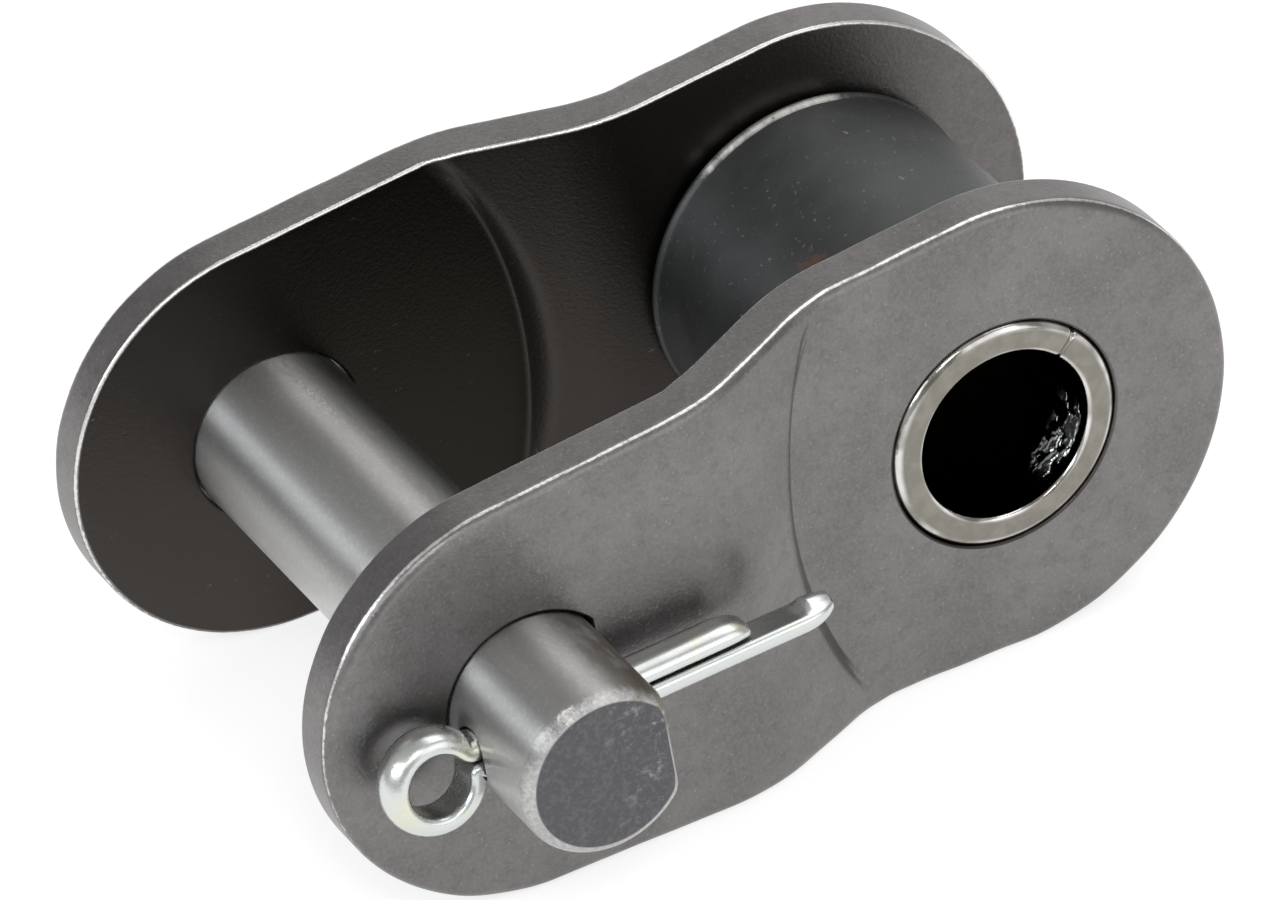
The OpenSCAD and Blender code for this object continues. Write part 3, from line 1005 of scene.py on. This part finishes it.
def split_pin_skin(sizes):
    """Half-round wire bent into an eye, with a rounded short tip and a domed long one."""
    skin = Skin()
    points, rounds, from_short, from_long = wire_path(sizes)
    section_y, section_rise, dome = wire_section(mm(sizes.edge))
    tip, bulge = mm(sizes.tip), mm(sizes.bulge)
    rings = []
    for point, out, near, far in zip(points, rounds, from_short, from_long):
        soft = math.sqrt(max(1 - (1 - min(near / tip, 1)) ** 2, 0))
        cut = min(far / tip, 1)
        nose = math.sqrt(1 - LONG_TIP_TAPER * (1 - cut) ** 2)
        height, width = (nose * (least + (1 - least) * soft) for least in (SHORT_TIP_HEIGHT, SHORT_TIP_WIDTH))
        raised = section_rise * height - bulge * dome * nose * min(DOME_RISE * (1 - cut), 1)
        y, z = section_y * width, point[1] + out[1] * raised
        rings.append(skin.add(np.stack([PIN_X + point[0] + out[0] * raised,
                                        SPLIT_Y + y * math.cos(sizes.turn) + z * math.sin(sizes.turn),
                                        z * math.cos(sizes.turn) - y * math.sin(sizes.turn)], 1)))
    skin.strips(rings)
    for ring in (rings[0], rings[-1]):
        skin.fan(ring, skin.add([np.mean([skin.points[i] for i in ring], axis=0)])[0])
    return skin


# Operators

class LINK_OT_plates(Operator):
    """Make the near and the far cranked plate"""
    bl_idname = "link.plates"
    bl_label = "Plates"

    def execute(self, context):
        sizes, pin_sizes = context.scene.link_plates, context.scene.link_pin
        steel = plate_finish(context.scene.link_finishes, PlateForm(sizes))
        room = mm(sizes.pin_room)
        flat = PIN_R - mm(pin_sizes.flat_depth) + room
        for node, side, pin_hole in (("near_plate", -1, Hole(0, PIN_R + room, flat)),
                                     ("far_plate", 1, Hole(0, PIN_R + room))):
            skin = plate_skin(sizes, side, [pin_hole, Hole(PITCH, BUSH_R)])
            stand_for(skin.piece(node + "_pressed", steel), node, "link")
        return {"FINISHED"}


SEAM_TURNS = np.linspace(-1.5, 1.5, 13)  # extra points across the seam, in halves of its width
SEAM_SHARPNESS = 2


class LINK_OT_bush(Operator):
    """Make the curled bush with its seam"""
    bl_idname = "link.bush"
    bl_label = "Bush"

    def execute(self, context):
        sizes = context.scene.link_turned
        profile = ring_profile(BORE_R, BUSH_R, BUSH_HALF, mm(sizes.bore_rim), mm(sizes.bush_rim))
        half_seam = mm(sizes.seam_width) / 2 / BUSH_R
        turns = even_turns(sizes.seam_angle + half_seam * SEAM_TURNS)
        off = (turns - sizes.seam_angle) / half_seam
        skin = ring_skin(profile, turns, mm(sizes.seam_depth) * np.exp(-SEAM_SHARPNESS * off ** 2))
        bush = skin.piece("bush_curled", bush_finish(context.scene.link_finishes, sizes))
        stand_for(bush, "bush", "link")
        return {"FINISHED"}


class LINK_OT_roller(Operator):
    """Make the roller"""
    bl_idname = "link.roller"
    bl_label = "Roller"

    def execute(self, context):
        sizes = context.scene.link_turned
        bore = BUSH_R + mm(sizes.roller_room)
        profile = ring_profile(bore, ROLLER_R, ROLLER_HALF, mm(sizes.bore_rim), mm(sizes.roller_rim),
                               roller_waist(sizes))
        skin = ring_skin(profile, even_turns())
        roller = skin.piece("roller_curled", roller_finish(context.scene.link_finishes, sizes))
        stand_for(roller, "roller", "roller")
        return {"FINISHED"}


class LINK_OT_pin(Operator):
    """Make the flatted pin with the split pin's hole through it"""
    bl_idname = "link.pin"
    bl_label = "Pin"

    def execute(self, context):
        sizes = context.scene.link_pin
        pin = pin_skin(sizes).piece("link_pin_ground", pin_finish(context.scene.link_finishes))
        drill(pin, mm(sizes.split_hole) / 2)
        stand_for(pin, "link_pin", "link")
        return {"FINISHED"}


class LINK_OT_split_pin(Operator):
    """Make the split pin of bent half-round wire"""
    bl_idname = "link.split_pin"
    bl_label = "Split pin"

    def execute(self, context):
        skin = split_pin_skin(context.scene.link_split_pin)
        split_pin = skin.piece("split_pin_bent", zinc_finish(context.scene.link_finishes))
        stand_for(split_pin, "split_pin", "split_pin")
        return {"FINISHED"}


FLOOR_HALF = 600
ROOM_GREY = 0.47
SENSOR_WIDTH = 36
CLIP_START, CLIP_END = 0.01, 10
LIGHTS = {
    # name: (place in mm, width and height in mm, watts, colour)
    "key": ((-90, -270, 290), (90, 70), 0.28, (1.0, 0.99, 0.97)),
    "fill": ((150, -330, 165), (300, 300), 0.33, (1.0, 1.0, 1.0)),
    "left": ((-315, -100, 222), (380, 130), 0.54, (0.93, 0.97, 1.0)),
    "top": ((170, 40, 366), (400, 190), 0.38, (1.0, 0.99, 0.97)),
    "back": ((210, 300, 150), (400, 260), 0.2, (1.0, 0.99, 0.98)),
}


def lay_floor(scene):
    """A floor that touches the lower sides of both plates, which lean a little."""
    floor = Skin()
    corners = [(x, y, -BUSH_END_R / math.cos(SIDE_LEAN) - x * math.tan(SIDE_LEAN))
               for x, y in ((-FLOOR_HALF, -FLOOR_HALF), (FLOOR_HALF, -FLOOR_HALF),
                            (FLOOR_HALF, FLOOR_HALF), (-FLOOR_HALF, FLOOR_HALF))]
    floor.faces.append(floor.add(corners).tolist())
    floor.piece("floor", floor_finish(scene.link_finishes))


def hang_lights(scene):
    """Bright cards round the link, all turned to its middle, in a grey room."""
    link_middle = Vector((PIN_X / 2, 0, 0))
    for name, (place, size, watts, tint) in LIGHTS.items():
        lamp = bpy.data.lights.new(name, "AREA")
        lamp.shape, lamp.size, lamp.size_y = "RECTANGLE", size[0] * MM, size[1] * MM
        lamp.energy, lamp.color = watts, tint
        light = bpy.data.objects.new(name, lamp)
        light.location = Vector(place) * MM
        light.rotation_euler = (link_middle - Vector(place)).to_track_quat("-Z", "Y").to_euler()
        light.visible_camera = False
        scene.collection.objects.link(light)
    world = bpy.data.worlds.new("studio")
    world.use_nodes = True
    world.node_tree.nodes["Background"].inputs["Color"].default_value = (ROOM_GREY, ROOM_GREY, ROOM_GREY, 1)
    scene.world = world


def set_camera(scene):
    """The camera, where the photograph was taken from."""
    sizes = scene.link_stage
    lens = bpy.data.cameras.new("camera")
    lens.lens, lens.sensor_width = sizes.lens, SENSOR_WIDTH
    lens.clip_start, lens.clip_end = CLIP_START, CLIP_END
    camera = bpy.data.objects.new("camera", lens)
    back = Vector((math.sin(sizes.azimuth) * math.cos(sizes.elevation),
                   -math.cos(sizes.azimuth) * math.cos(sizes.elevation), math.sin(sizes.elevation)))
    camera.location = Vector(sizes.aim) + back * sizes.distance
    camera.rotation_mode = "QUATERNION"
    camera.rotation_quaternion = (-back).to_track_quat("-Z", "Y") @ Quaternion((0, 0, 1), sizes.roll)
    scene.collection.objects.link(camera)
    scene.camera = camera
    scene.view_settings.view_transform = "Standard"


class LINK_OT_stage(Operator):
    """Make the floor, the lights and the camera"""
    bl_idname = "link.stage"
    bl_label = "Stage"

    def execute(self, context):
        lay_floor(context.scene)
        hang_lights(context.scene)
        set_camera(context.scene)
        return {"FINISHED"}


STEPS = (LINK_OT_stage, LINK_OT_plates, LINK_OT_bush, LINK_OT_roller, LINK_OT_pin, LINK_OT_split_pin)
GROUPS = {"link_plates": PlateSizes, "link_turned": TurnedSizes, "link_pin": PinSizes,
          "link_split_pin": SplitPinSizes, "link_finishes": Finishes, "link_stage": StageSizes}


class LINK_PT_pieces(Panel):
    """Lists the pieces of the link"""
    bl_idname = "LINK_PT_pieces"
    bl_label = "Offset link"
    bl_space_type = "VIEW_3D"
    bl_region_type = "UI"
    bl_category = "Link"

    def draw(self, context):
        for step in STEPS:
            self.layout.operator(step.bl_idname)
        for name, group in GROUPS.items():
            box = self.layout.box()
            for field in group.__annotations__:
                box.prop(getattr(context.scene, name), field)


CLASSES = (*GROUPS.values(), *STEPS, LINK_PT_pieces)


def register():
    for item in CLASSES:
        bpy.utils.register_class(item)
    for name, group in GROUPS.items():
        setattr(bpy.types.Scene, name, PointerProperty(type=group))


def unregister():
    for name in GROUPS:
        delattr(bpy.types.Scene, name)
    for item in reversed(CLASSES):
        bpy.utils.unregister_class(item)


def main():
    register()
    bpy.ops.link.stage()
    bpy.ops.link.plates()
    bpy.ops.link.bush()
    bpy.ops.link.roller()
    bpy.ops.link.pin()
    bpy.ops.link.split_pin()


if __name__ == "__main__":
    main()
